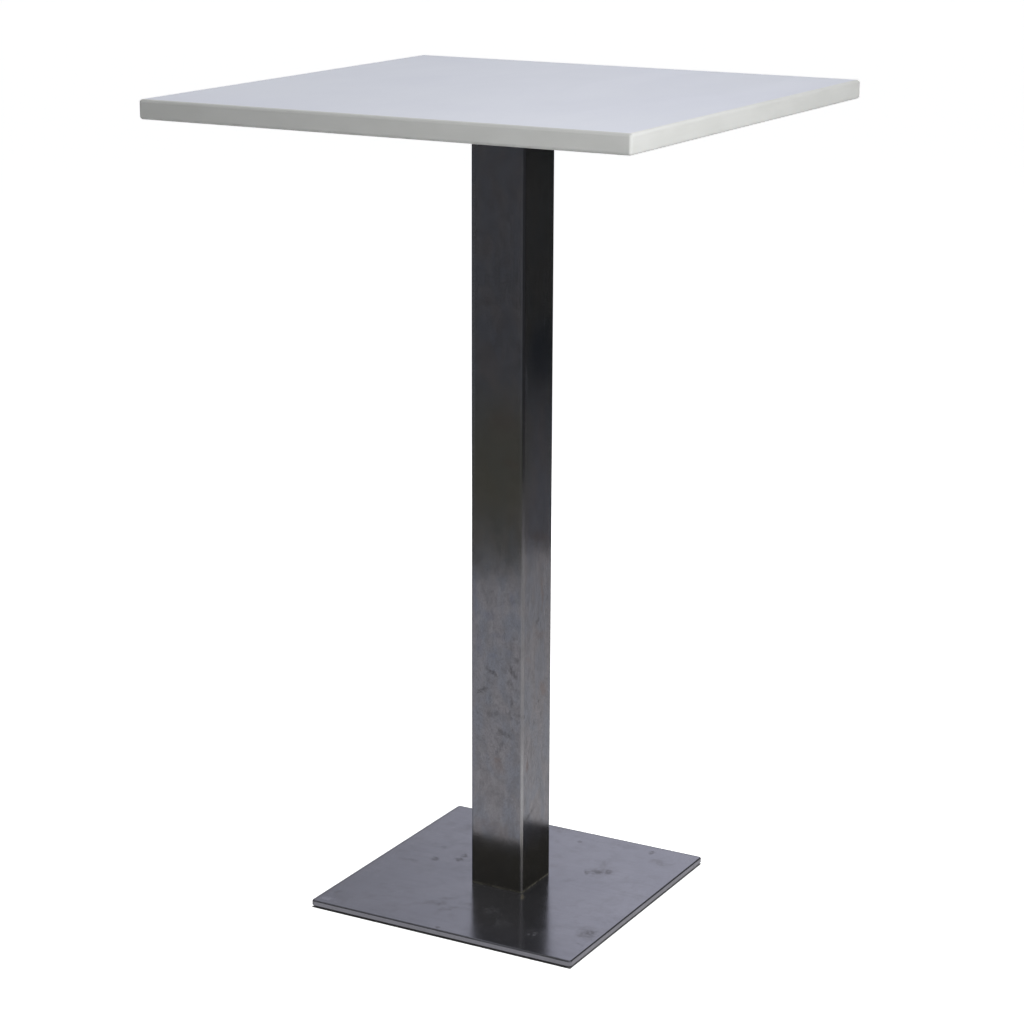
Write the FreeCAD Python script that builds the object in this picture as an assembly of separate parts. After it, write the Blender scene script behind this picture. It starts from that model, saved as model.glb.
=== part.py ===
import FreeCAD, Part
import math
import os
from FreeCAD import Vector

# Bar-height pub table: a square laminate top carried by a cast spider on one square
# stainless tube, which a long tie rod clamps to a flat square base with levelling feet.
# Millimetres, +Z up. The origin is on the floor, at the middle of the base.

# ---- Driving dimensions -------------------------------------------------------------

# Table top
table_height = 1100.0
top_side = 680.0
top_core_thickness = 23.4
laminate_thickness = 0.8
backing_thickness = 0.8
edge_band_thickness = 4.5
edge_band_radius = 4.0

# Column
column_side = 80.0
column_wall = 1.5
column_corner_radius = 3.0

# Base: a steel plate inside a folded stainless skin
base_side = 400.0
base_core_thickness = 8.0
base_skin_thickness = 1.2
base_corner_radius = 5.0
base_arris_radius = 2.4
base_skin_clearance = 0.1
base_core_reveal = 2.1
floor_gap = 1.5

# Spider between the column and the top
hub_side = 100.0
hub_thickness = 6.0
hub_corner_radius = 10.0
hub_boss_diameter = 46.0
hub_boss_depth = 22.0
spigot_depth = 18.0
spigot_wall = 5.0
spigot_clearance = 0.3
hub_web_thickness = 6.0
arm_reach = 190.0
arm_root_width = 46.0
arm_tip_radius = 14.0
arm_root_depth = 17.0
arm_tip_depth = 9.5
arm_web = 5.0
arm_flange = 4.5
arm_seat_clearance = 0.4

# Wood screws through the spider's arms
wood_screw_diameter = 5.0
wood_screw_length = 20.0
wood_screw_head_diameter = 9.6
wood_screw_head_height = 3.0
wood_screw_hole_clearance = 0.3
pilot_extra_depth = 1.5

# Tie rod, its nuts and washer
rod_diameter = 12.0
rod_hole_clearance = 0.5
rod_end_gap = 1.0
nut_across_flats = 18.7
nut_height = 10.8
washer_diameter = 24.0
washer_thickness = 2.5
nut_recess_clearance = 3.0
nut_recess_margin = 1.2
lock_nut_height = 6.0
thread_clearance = 0.05

# Column foot: the block welded on the base plate, through an opening in the skin
column_foot_thickness = 16.0
column_foot_chamfer = 1.0
column_foot_clearance = 0.3
skin_opening_clearance = 0.5

# Levelling feet: a hexagonal plastic pad on the end of a screw that turns in it
foot_inset = 45.0
pad_across_flats = 27.0
pad_rise = 2.0
pad_floor_thickness = 0.9
pad_recess_clearance = 0.6
pad_socket_clearance = 0.08
moving_clearance = 0.3
foot_screw_diameter = 8.0
foot_screw_top_gap = 0.6

# ---- Levels and fits worked out from them -------------------------------------------

top_thickness = backing_thickness + top_core_thickness + laminate_thickness
top_underside = table_height - top_thickness
backing_top = top_underside + backing_thickness
laminate_underside = table_height - laminate_thickness
panel_side = top_side - 2 * edge_band_thickness

base_underside = floor_gap
core_top = base_underside + base_core_thickness
base_top = core_top + base_skin_thickness
core_side = base_side - 2 * (base_skin_thickness + base_skin_clearance)

hub_underside = top_underside - hub_thickness
tube_inside = column_side - 2 * column_wall
tube_inside_radius = max(column_corner_radius - column_wall, 0.5)

boss_underside = top_underside - hub_boss_depth
recess_depth = washer_thickness + nut_height + nut_recess_margin
recess_floor = top_underside - recess_depth
rod_top = recess_floor + washer_thickness + nut_height + nut_recess_margin / 2

foot_block_side = tube_inside - 2 * column_foot_clearance
foot_block_top = core_top + column_foot_thickness
rod_bottom = core_top + rod_end_gap
tip_screw_distance = arm_reach - arm_tip_radius

foot_place = base_side / 2 - foot_inset
pad_top = base_underside + pad_rise
pad_recess_radius = pad_across_flats / math.sqrt(3) + pad_recess_clearance
pad_recess_top = pad_top + moving_clearance
foot_screw_bottom = pad_floor_thickness + moving_clearance
foot_screw_top = core_top - foot_screw_top_gap

Z = Vector(0, 0, 1)
CENTRE = Vector(0, 0, 0)


# ---- Shapes used more than once -----------------------------------------------------

def disc(radius, low, high, x=0.0, y=0.0):
    """An upright cylinder between two levels."""
    return Part.makeCylinder(radius, high - low, Vector(x, y, low))


def rounded_square(side, low, high, corner=0.0):
    """A square prism about the Z axis, with its upright edges rounded."""
    block = Part.makeBox(side, side, high - low, Vector(-side / 2, -side / 2, low))
    if corner <= 0:
        return block
    upright = [e for e in block.Edges if abs(e.tangentAt(e.FirstParameter).z) > 0.9]
    return block.makeFillet(corner, upright)


def turned(profile, x=0.0, y=0.0):
    """Revolves a closed outline of (radius, height) points about an upright axis."""
    points = [Vector(r, 0, z) for r, z in profile]
    face = Part.Face(Part.makePolygon(points + points[:1]))
    solid = face.revolve(CENTRE, Z, 360)
    solid.translate(Vector(x, y, 0))
    return solid


def hexagon(across_flats, low, high, x=0.0, y=0.0):
    """A six-sided prism."""
    radius = across_flats / math.sqrt(3)
    turns = [math.radians(60 * k) for k in range(7)]
    points = [Vector(x + radius * math.cos(t), y + radius * math.sin(t), low) for t in turns]
    return Part.Face(Part.makePolygon(points)).extrude(Vector(0, 0, high - low))


def hex_nut(low, height):
    """A hexagon nut, bored to clear the rod's thread."""
    bore = disc(rod_diameter / 2 + thread_clearance, low - 1, low + height + 1)
    return hexagon(nut_across_flats, low, low + height).cut(bore)


def corner_places(distance):
    """The four (x, y) places at one distance along both axes, with the corner's name."""
    return {
        "front_left": (-distance, -distance),
        "front_right": (distance, -distance),
        "rear_right": (distance, distance),
        "rear_left": (-distance, distance),
    }


def arm_screw_places():
    """The (x, y) places of the wood screws: one near the tip of each diagonal arm."""
    return list(corner_places(tip_screw_distance / math.sqrt(2)).values())


# ---- Table top ----------------------------------------------------------------------

def edge_band_ring():
    """The rounded rim of the top in one piece, before it is cut into four bands."""
    rim = Part.makeBox(
        top_side, top_side, top_thickness,
        Vector(-top_side / 2, -top_side / 2, top_underside),
    )
    radius = min(edge_band_radius, 0.9 * edge_band_thickness, 0.45 * top_thickness)
    rim = rim.makeFillet(radius, rim.Edges)
    return rim.cut(rounded_square(panel_side, top_underside - 1, table_height + 1))


def edge_bands():
    """Front and rear bands run the full width; the side bands butt between them."""
    ring = edge_band_ring()
    half = top_side / 2
    inner = panel_side / 2

    def stretch(x_low, x_high, y_low, y_high):
        box = Part.makeBox(
            x_high - x_low, y_high - y_low, top_thickness,
            Vector(x_low, y_low, top_underside),
        )
        return ring.common(box)

    return {
        "edge_band_front": stretch(-half, half, -half, -inner),
        "edge_band_rear": stretch(-half, half, inner, half),
        "edge_band_left": stretch(-half, -inner, -inner, inner),
        "edge_band_right": stretch(inner, half, -inner, inner),
    }


def top_panel():
    """Particleboard core between two laminate sheets, drilled for the wood screws."""
    core = rounded_square(panel_side, backing_top, laminate_underside)
    backing = rounded_square(panel_side, top_underside, backing_top)
    hole = wood_screw_diameter / 2 + thread_clearance
    reach_in = wood_screw_length - arm_web + pilot_extra_depth
    for x, y in arm_screw_places():
        pilot = disc(hole, top_underside - 1, top_underside + reach_in, x, y)
        core = core.cut(pilot)
        backing = backing.cut(pilot)
    return {
        "top_laminate": rounded_square(panel_side, laminate_underside, table_height),
        "top_core": core,
        "backing_laminate": backing,
    }


# ---- Spider -------------------------------------------------------------------------

def arm_outline(root_half_width, tip_radius):
    """Plan of one arm along +X: straight tapered sides, tangent to a round tip."""
    centre_x = arm_reach - arm_tip_radius
    spread = math.hypot(centre_x, root_half_width)
    turn = math.atan2(root_half_width, -centre_x) - math.acos(tip_radius / spread)
    touch = Vector(centre_x + tip_radius * math.cos(turn), tip_radius * math.sin(turn), 0)
    mirror = Vector(touch.x, -touch.y, 0)
    upper_root = Vector(0, root_half_width, 0)
    lower_root = Vector(0, -root_half_width, 0)
    return Part.Face(Part.Wire([
        Part.LineSegment(lower_root, mirror).toShape(),
        Part.Arc(mirror, Vector(centre_x + tip_radius, 0, 0), touch).toShape(),
        Part.LineSegment(touch, upper_root).toShape(),
        Part.LineSegment(upper_root, lower_root).toShape(),
    ]))


def spider_arm():
    """One arm along +X: a tapered channel, open underneath, that thins towards its tip."""
    plan = arm_outline(arm_root_width / 2, arm_tip_radius)
    plan.translate(Vector(0, 0, top_underside - arm_root_depth))
    body = plan.extrude(Vector(0, 0, arm_root_depth))
    side_points = [
        Vector(-1, -arm_root_width, top_underside - arm_root_depth),
        Vector(arm_reach + 1, -arm_root_width, top_underside - arm_tip_depth),
        Vector(arm_reach + 1, -arm_root_width, top_underside),
        Vector(-1, -arm_root_width, top_underside),
    ]
    side = Part.Face(Part.makePolygon(side_points + side_points[:1]))
    body = body.common(side.extrude(Vector(0, 2 * arm_root_width, 0)))
    pocket = arm_outline(arm_root_width / 2 - arm_flange, arm_tip_radius - arm_flange)
    pocket.translate(Vector(0, 0, top_underside - arm_root_depth - 1))
    return body.cut(pocket.extrude(Vector(0, 0, arm_root_depth + 1 - arm_web)))


def hub_webs():
    """Two crossed webs that tie the boss to the spigot's walls."""
    length = tube_inside - 2 * spigot_clearance - spigot_wall
    low = hub_underside - spigot_depth + spigot_wall / 2
    along_x = Part.makeBox(
        length, hub_web_thickness, hub_underside - low,
        Vector(-length / 2, -hub_web_thickness / 2, low),
    )
    along_y = along_x.copy()
    along_y.rotate(CENTRE, Z, 90)
    return along_x.fuse(along_y)


def spigot():
    """The hollow square skirt that enters the column's upper end."""
    side = tube_inside - 2 * spigot_clearance
    corner = max(tube_inside_radius - spigot_clearance, 0.3)
    low = hub_underside - spigot_depth
    skirt = rounded_square(side, low, hub_underside, corner)
    return skirt.cut(rounded_square(side - 2 * spigot_wall, low - 1, hub_underside, corner))


def spider():
    """Cast spider: hub plate, spigot, boss with the nut's recess, and four arms."""
    first = spider_arm()
    arms = []
    for k in range(4):
        arm = first.copy()
        arm.rotate(CENTRE, Z, 45 + 90 * k)
        arms.append(arm)
    cast = arms[0].multiFuse(arms[1:])
    seat = column_side + 2 * arm_seat_clearance
    low = top_underside - arm_root_depth - 1
    cast = cast.cut(rounded_square(seat, low, hub_underside, column_corner_radius))
    hub = rounded_square(hub_side, hub_underside, top_underside, hub_corner_radius)
    boss = disc(hub_boss_diameter / 2, boss_underside, top_underside)
    cast = cast.multiFuse([hub, spigot(), hub_webs(), boss])
    recess_radius = washer_diameter / 2 + nut_recess_clearance / 2
    cuts = [
        disc(recess_radius, recess_floor, top_underside + 1),
        disc(rod_diameter / 2 + rod_hole_clearance, boss_underside - 1, recess_floor + 1),
    ]
    hole = wood_screw_diameter / 2 + wood_screw_hole_clearance
    for x, y in arm_screw_places():
        cuts.append(disc(hole, top_underside - arm_root_depth, top_underside + 1, x, y))
    return cast.cut(cuts).removeSplitter()


def spider_screws():
    """Wood screws, driven up through the arms into the panel."""
    head_top = top_underside - arm_web
    screws = []
    for x, y in arm_screw_places():
        head = disc(wood_screw_head_diameter / 2, head_top - wood_screw_head_height, head_top, x, y)
        shank = disc(wood_screw_diameter / 2, head_top, head_top + wood_screw_length, x, y)
        screws.append(head.fuse(shank))
    return Part.makeCompound(screws)


# ---- Column and tie rod -------------------------------------------------------------

def column():
    """The square tube between the base's skin and the spider's hub."""
    tube = rounded_square(column_side, base_top, hub_underside, column_corner_radius)
    return tube.cut(rounded_square(tube_inside, base_top - 1, hub_underside + 1, tube_inside_radius))


def tie_rod():
    """The long rod from the column foot to the nut in the spider's recess."""
    radius = rod_diameter / 2
    end = 0.8
    return turned([
        (0, rod_bottom), (radius - end, rod_bottom), (radius, rod_bottom + end),
        (radius, rod_top - end), (radius - end, rod_top), (0, rod_top),
    ])


def rod_top_washer():
    """Plain washer on the floor of the spider's recess."""
    ring = disc(washer_diameter / 2, recess_floor, recess_floor + washer_thickness)
    hole = rod_diameter / 2 + rod_hole_clearance
    return ring.cut(disc(hole, recess_floor - 1, recess_floor + washer_thickness + 1))


# ---- Base ---------------------------------------------------------------------------

def base_core():
    """The heavy plate: corners cut off inside the skin, recessed and tapped for the feet."""
    plate = Part.makeBox(
        core_side, core_side, base_core_thickness,
        Vector(-core_side / 2, -core_side / 2, base_underside),
    )
    upright = [e for e in plate.Edges if abs(e.tangentAt(e.FirstParameter).z) > 0.9]
    plate = plate.makeChamfer(base_corner_radius, upright)
    cuts = []
    for x, y in corner_places(foot_place).values():
        tapped = foot_screw_diameter / 2 + thread_clearance
        cuts.append(disc(pad_recess_radius, base_underside - 1, pad_recess_top, x, y))
        cuts.append(disc(tapped, pad_top, core_top + 1, x, y))
    return plate.cut(cuts)


def base_cover():
    """The stainless skin: a shallow tray turned down over the plate's four sides."""
    lip_low = base_underside + base_core_reveal
    outside = rounded_square(base_side, lip_low, base_top, base_corner_radius)
    rim = [e for e in outside.Edges if e.BoundBox.ZMin > base_top - 0.01]
    outside = outside.makeFillet(base_arris_radius, rim)
    inside_side = base_side - 2 * base_skin_thickness
    inside_corner = base_corner_radius - base_skin_thickness
    inside = rounded_square(inside_side, lip_low - 1, core_top, inside_corner)
    opening = rounded_square(foot_block_side + 2 * skin_opening_clearance, core_top - 1, base_top + 1)
    return outside.cut([inside, opening])


def column_foot():
    """The block that locates the tube's lower end and anchors the tie rod."""
    block = rounded_square(foot_block_side, core_top, foot_block_top)
    edges = [e for e in block.Edges if e.BoundBox.ZMax > foot_block_top - 0.01]
    block = block.makeChamfer(column_foot_chamfer, edges)
    return block.cut(disc(rod_diameter / 2 + thread_clearance, core_top - 1, foot_block_top + 1))


# ---- Levelling feet -----------------------------------------------------------------

def foot_pad(x, y):
    """The hexagonal plastic pad, with a blind socket for the end of its screw."""
    pad = hexagon(pad_across_flats, 0, pad_top, x, y)
    socket = foot_screw_diameter / 2 + pad_socket_clearance
    return pad.cut(disc(socket, pad_floor_thickness, pad_top + 1, x, y))


def foot_screw(x, y):
    """The levelling screw, from the pad's socket up into the tapped base plate."""
    return disc(foot_screw_diameter / 2, foot_screw_bottom, foot_screw_top, x, y)


# ---- Assembly -----------------------------------------------------------------------

def assembly():
    """Every node of the table by name."""
    nodes = {}
    nodes.update(top_panel())
    nodes.update(edge_bands())
    nodes["spider"] = spider()
    nodes["spider_screws"] = spider_screws()
    nodes["column"] = column()
    nodes["tie_rod"] = tie_rod()
    nodes["rod_top_washer"] = rod_top_washer()
    nodes["rod_top_nut"] = hex_nut(recess_floor + washer_thickness, nut_height)
    nodes["rod_lock_nut"] = hex_nut(foot_block_top, lock_nut_height)
    nodes["column_foot"] = column_foot()
    nodes["base_core"] = base_core()
    nodes["base_cover"] = base_cover()
    for corner, (x, y) in corner_places(foot_place).items():
        nodes["foot_pad_" + corner] = foot_pad(x, y)
        nodes["foot_screw_" + corner] = foot_screw(x, y)
    return nodes


os.makedirs("parts", exist_ok=True)
for name, shape in assembly().items():
    shape.exportStep("parts/" + name + ".step")
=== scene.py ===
import bmesh
import bpy
import math
from mathutils import Matrix, Vector


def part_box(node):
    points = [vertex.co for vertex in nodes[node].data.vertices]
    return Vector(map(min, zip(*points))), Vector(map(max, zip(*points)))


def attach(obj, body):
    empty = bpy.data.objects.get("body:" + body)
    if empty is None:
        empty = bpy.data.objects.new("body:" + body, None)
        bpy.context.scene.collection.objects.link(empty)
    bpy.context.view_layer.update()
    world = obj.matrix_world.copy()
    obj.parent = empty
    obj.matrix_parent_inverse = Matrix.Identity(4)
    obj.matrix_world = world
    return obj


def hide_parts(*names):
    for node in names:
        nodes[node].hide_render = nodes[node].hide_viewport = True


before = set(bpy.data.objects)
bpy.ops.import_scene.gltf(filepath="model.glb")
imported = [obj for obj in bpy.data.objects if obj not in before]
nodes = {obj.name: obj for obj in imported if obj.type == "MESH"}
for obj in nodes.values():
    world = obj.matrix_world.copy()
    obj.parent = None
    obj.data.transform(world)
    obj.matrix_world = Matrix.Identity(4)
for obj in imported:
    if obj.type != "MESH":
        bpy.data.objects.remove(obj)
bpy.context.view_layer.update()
scene = bpy.context.scene


# ---- Places and sizes taken from the solids, in metres --------------------------------

MM = 0.001
HALF_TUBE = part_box("column")[1].x
HALF_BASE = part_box("base_cover")[1].x
BASE_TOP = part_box("base_cover")[1].z
HALF_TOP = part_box("edge_band_right")[1].x
TOP_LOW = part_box("edge_band_right")[0].z
TOP_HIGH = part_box("edge_band_right")[1].z
ROD_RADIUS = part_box("tie_rod")[1].x
CORNERS = {"front_left": (-1, -1), "front_right": (1, -1), "rear_right": (1, 1), "rear_left": (-1, 1)}

# The wood screws' heads hang under the arms, and the arms' tips lie on the diagonals
SCREW_HEAD = 0.0030
SCREW_HEAD_RADIUS = 0.0048
SCREW_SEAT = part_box("spider_screws")[0].z + SCREW_HEAD
SCREW_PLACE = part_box("spider_screws")[1].x - SCREW_HEAD_RADIUS


# ---- Marks of use, and painted highlight lines --------------------------------------

# Each row, in millimetres and degrees: face, along, across, half length, half width, turn,
# strength. Along and across are X and Z on the front (F), Y and Z on the right face (R) of
# the column, and X and Y on the top of the base (T). The depths, in metres, are how far a
# mark reaches into the face that it lies on.
MARK_DEPTH = 0.03
BASE_MARK_DEPTH = 0.02
COLUMN_SCUFFS = (
    ("F", 31, 345, 5, 5, -35, 0.7), ("F", 24, 328, 13, 4, -55, 1.0), ("F", -8, 323, 12, 3.5, -30, 1.0),
    ("F", 20, 311, 7, 5, -10, 0.7), ("F", -23, 295, 11, 3, 30, 0.9), ("F", 23, 286, 9, 2.5, -80, 0.8),
    ("F", -10, 283, 16, 2.5, -90, 0.5), ("F", -10, 262, 8, 5, 0, 0.7), ("F", -1, 266, 5, 4.5, -10, 0.6),
    ("F", 12, 238, 12, 3, -20, 0.9), ("F", 4, 236, 6, 2.5, -5, 0.5), ("R", 0, 391, 9, 3, 35, 0.8),
    ("R", 5, 276, 3, 2.5, -55, 0.8), ("R", -37, 266, 4, 3, -70, 0.9), ("R", 35, 154, 3, 3, -65, 0.9),
    ("R", -20, 119, 12, 2.5, 20, 0.9),
)
COLUMN_BLUE = (
    ("F", -6, 347, 8, 5, 10, 0.7), ("F", 20, 354, 5, 4, 10, 0.5), ("F", -13, 403, 11, 6.5, -10, 0.8),
    ("F", 23, 429, 13, 4, -70, 0.9), ("F", -34, 421, 35, 4.5, -90, 0.9), ("F", -28, 361, 18, 6.5, -80, 0.8),
    ("F", 3, 376, 12, 5, -5, 0.4),
)
COLUMN_BROWN = (
    ("R", 14, 424, 25, 3.5, -90, 0.8), ("R", 5, 508, 30, 6.5, -15, 0.6), ("R", 9, 370, 13, 6.5, -20, 0.6),
    ("R", -26, 344, 10, 4.5, -45, 0.5), ("R", 15, 292, 16, 6, -60, 0.9), ("R", -27, 192, 10, 4.5, -85, 1.0),
    ("F", 0, 198, 6, 5, -10, 0.8), ("F", 2, 192, 14, 9, -65, 0.4), ("F", 3, 465, 14, 8, -20, 0.3),
    ("F", -8, 98, 26, 12, -15, 0.35), ("F", 8, 672, 22, 16, 10, 0.4), ("F", 22, 615, 14, 6, -10, 0.5),
)
COLUMN_OLIVE = (("F", 0, 620, 70, 95, 0, 0.9),)
COLUMN_DARK_PATCHES = (("R", 6, 757, 48, 36, 90, 1.0), ("R", 18, 790, 26, 14, 0, 0.7))
COLUMN_PALE = (
    ("R", 14, 796, 5, 2, 35, 0.9), ("R", 17, 801, 3, 1.5, 0, 0.7), ("R", -34, 728, 20, 4, 90, 0.55),
    ("R", -37, 805, 12, 2.5, 90, 0.5),
)
# Painted highlight lines beside the front arrises
COLUMN_HIGHLIGHT_LINES = (("F", -35, 760, 250, 1.6, 90, 0.55), ("F", 35.5, 790, 260, 0.9, 90, 0.6))
BASE_SMEARS = (
    ("T", -156, -15, 18, 5, 5, 0.6), ("T", -54, -127, 14, 5, 60, 0.7), ("T", -40, -104, 14, 5, 40, 0.7),
    ("T", -25, -135, 17, 5, 50, 0.7), ("T", -39, -124, 11, 8, 0, 0.6), ("T", -9, -111, 12, 6, 5, 0.6),
    ("T", 91, 108, 22, 6, 90, 0.6), ("T", 155, 149, 18, 9, -15, 0.7), ("T", -26, 188, 20, 8, 0, 0.8),
    ("T", 74, 29, 12, 8, 50, 0.5), ("T", 178, -112, 16, 22, 30, 1.0), ("T", 186, -148, 6, 5, 50, 0.6),
    ("T", 86, 180, 24, 8, 0, 0.6), ("T", -181, -160, 6, 5, 10, 0.6), ("T", -140, 130, 30, 12, 60, 0.4),
    ("T", 100, 82, 22, 18, 30, 0.7),
)
BASE_SCUFFS = (
    ("T", -126, 6, 5, 8, 30, 1.0), ("T", -94, 20, 7, 6, 30, 1.0), ("T", -95, 37, 4.5, 7, 30, 0.9),
    ("T", -134, 48, 4, 6, 30, 0.6), ("T", -3, -193, 4, 3.5, 10, 0.9), ("T", 24, 162, 4, 4.5, 20, 0.9),
    ("T", 84, 69, 5, 8, 30, 0.9), ("T", 97, 77, 9, 8, 30, 1.0), ("T", 110, 84, 5, 8, 30, 0.9),
    ("T", 131, 178, 5, 6.5, 5, 1.0), ("T", 182, -110, 8, 9, 30, 0.6), ("T", -40, -125, 5, 3, 30, 0.4),
)
BASE_PALE = (("T", -184, -186, 10, 5.5, 10, 0.9),)
BASE_GRIME = (("T", 46, -50, 12, 3.5, -60, 0.9),)
BASE_DUST = (
    ("T", 36, -115, 12, 18, 30, 0.9), ("T", 64, -140, 10, 16, 30, 0.6), ("T", 116, -150, 16, 16, 30, 0.9),
)


# ---- Small helpers ------------------------------------------------------------------

class Shader:
    """A node material with short calls for the textures used below."""

    def __init__(self, name, **sockets):
        self.material = bpy.data.materials.new(name)
        self.material.use_nodes = True
        self.tree = self.material.node_tree
        self.tree.nodes.clear()
        self.out = self.add("ShaderNodeOutputMaterial")
        self.bsdf = self.add("ShaderNodeBsdfPrincipled")
        self.link(self.bsdf.outputs[0], self.out.inputs[0])
        for socket, value in sockets.items():
            self.bsdf.inputs[socket.replace("_", " ")].default_value = value
        self.coords = self.add("ShaderNodeTexCoord").outputs["Object"]

    def add(self, kind):
        return self.tree.nodes.new(kind)

    def link(self, a, b):
        self.tree.links.new(a, b)

    def put(self, value, socket):
        """Sets a socket to a number or colour, or links it to another node's output."""
        if isinstance(value, bpy.types.NodeSocket):
            self.link(value, socket)
        elif isinstance(value, (tuple, list)) and len(value) == 3 and socket.type == "RGBA":
            socket.default_value = (*value, 1)
        else:
            socket.default_value = value

    def scaled(self, x, y, z, shift=(0, 0, 0)):
        node = self.add("ShaderNodeMapping")
        node.inputs["Scale"].default_value = (x, y, z)
        node.inputs["Location"].default_value = shift
        self.link(self.coords, node.inputs["Vector"])
        return node.outputs[0]

    def noise(self, vector, detail=3.0, rough=0.5, twist=0.0):
        node = self.add("ShaderNodeTexNoise")
        node.inputs["Scale"].default_value = 1.0
        node.inputs["Detail"].default_value = detail
        node.inputs["Roughness"].default_value = rough
        node.inputs["Distortion"].default_value = twist
        self.link(vector, node.inputs["Vector"])
        return node.outputs["Fac"]

    def cells(self, vector):
        """A random colour for each cell."""
        node = self.add("ShaderNodeTexVoronoi")
        node.inputs["Scale"].default_value = 1.0
        self.link(vector, node.inputs["Vector"])
        return node.outputs["Color"]

    def band(self, value, low, high, to_low=0.0, to_high=1.0, smooth=True):
        """Maps low..high of a value to to_low..to_high, held at both ends."""
        node = self.add("ShaderNodeMapRange")
        node.interpolation_type = "SMOOTHSTEP" if smooth else "LINEAR"
        self.put(value, node.inputs["Value"])
        for key, number in (("From Min", low), ("From Max", high), ("To Min", to_low), ("To Max", to_high)):
            node.inputs[key].default_value = number
        return node.outputs[0]

    def math(self, kind, a, b=None):
        node = self.add("ShaderNodeMath")
        node.operation = kind
        self.put(a, node.inputs[0])
        if b is not None:
            self.put(b, node.inputs[1])
        return node.outputs[0]

    def times(self, first, *others):
        """The product of two or more values."""
        for value in others:
            first = self.math("MULTIPLY", first, value)
        return first

    def larger(self, a, b):
        return self.math("MAXIMUM", a, b)

    def mix(self, amount, a, b):
        node = self.add("ShaderNodeMix")
        node.data_type = "RGBA"
        self.put(amount, node.inputs[0])
        self.put(a, node.inputs[6])
        self.put(b, node.inputs[7])
        return node.outputs[2]

    def tint(self, tone, mask, share, colour):
        """Mixes a share of a colour in where the mask is 1."""
        return self.mix(self.times(mask, share), tone, colour)

    def axis(self, name):
        node = self.add("ShaderNodeSeparateXYZ")
        self.link(self.coords, node.inputs[0])
        return node.outputs[name]

    def bump(self, height, depth, strength=1.0, after=None):
        node = self.add("ShaderNodeBump")
        node.inputs["Strength"].default_value = strength
        node.inputs["Distance"].default_value = depth
        self.link(height, node.inputs["Height"])
        if after is not None:
            self.link(after, node.inputs["Normal"])
        self.link(node.outputs[0], self.bsdf.inputs["Normal"])
        return node.outputs[0]

    def base(self, value):
        self.put(value, self.bsdf.inputs["Base Color"])

    def rough(self, value):
        self.put(value, self.bsdf.inputs["Roughness"])

    def metal(self, value):
        self.put(value, self.bsdf.inputs["Metallic"])

    def clear_where(self, mask, surface):
        """Shows a surface, and nothing where the mask is 1."""
        shown = self.add("ShaderNodeMixShader")
        clear = self.add("ShaderNodeBsdfTransparent")
        self.put(mask, shown.inputs[0])
        self.link(surface, shown.inputs[1])
        self.link(clear.outputs[0], shown.inputs[2])
        self.link(shown.outputs[0], self.out.inputs[0])


def dress(name, material):
    """Gives a CAD node its material."""
    mesh = nodes[name].data
    if not mesh.materials:
        mesh.materials.append(material)
    for k in range(len(mesh.materials)):
        mesh.materials[k] = material


def new_object(name, bm, material, body):
    """A smooth mesh piece that rides on a body, or on none for the stage."""
    mesh = bpy.data.meshes.new(name)
    bm.normal_update()
    bm.to_mesh(mesh)
    bm.free()
    for face in mesh.polygons:
        face.use_smooth = True
    piece = bpy.data.objects.new(name, mesh)
    scene.collection.objects.link(piece)
    mesh.materials.append(material)
    if body is not None:
        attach(piece, body)
    return piece


def ring(points, height):
    """A plan outline lifted to one height."""
    return [Vector((x, y, height)) for x, y in points]


def circle(steps):
    """A circle of radius 1, as plan points."""
    return [(math.cos(2 * math.pi * k / steps), math.sin(2 * math.pi * k / steps)) for k in range(steps)]


def round_plan(radius, like):
    """A circle with its points in the same directions as those of another outline."""
    return [(radius * x / math.hypot(x, y), radius * y / math.hypot(x, y)) for x, y in like]


def hexagon_plan(across_flats, corner, steps):
    """A hexagon with round corners; one corner points along +X."""
    points = []
    reach = (across_flats / 2 - corner) / math.cos(math.pi / 6)
    for k in range(6):
        middle = math.pi * k / 3
        for j in range(steps + 1):
            turn = middle + math.pi / 3 * (j / steps - 0.5)
            points.append((
                reach * math.cos(middle) + corner * math.cos(turn),
                reach * math.sin(middle) + corner * math.sin(turn),
            ))
    return points


def loft(bm, rings, closed=False):
    """Joins rings of points by quads; an open loft is capped at both ends."""
    loops = [[bm.verts.new(p) for p in points] for points in rings]
    pairs = list(zip(loops, loops[1:]))
    if closed:
        pairs.append((loops[-1], loops[0]))
    for low, high in pairs:
        for k in range(len(low)):
            j = (k + 1) % len(low)
            bm.faces.new((low[k], low[j], high[j], high[k]))
    if not closed:
        bm.faces.new(list(reversed(loops[0])))
        bm.faces.new(loops[-1])
    bmesh.ops.recalc_face_normals(bm, faces=bm.faces)


def soft_edges(piece, angle):
    """Shades smoothly except across edges sharper than the angle."""
    piece.data.set_sharp_from_angle(angle=math.radians(angle))


def bevel(piece, width, segments):
    """Rounds the edges that turn by more than 38 degrees."""
    edge = piece.modifiers.new("bevel", "BEVEL")
    edge.width = width
    edge.segments = segments
    edge.limit_method = "ANGLE"
    edge.angle_limit = math.radians(38)
    edge.use_clamp_overlap = False
    edge.miter_outer = "MITER_ARC"


# ---- Materials ----------------------------------------------------------------------

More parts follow.
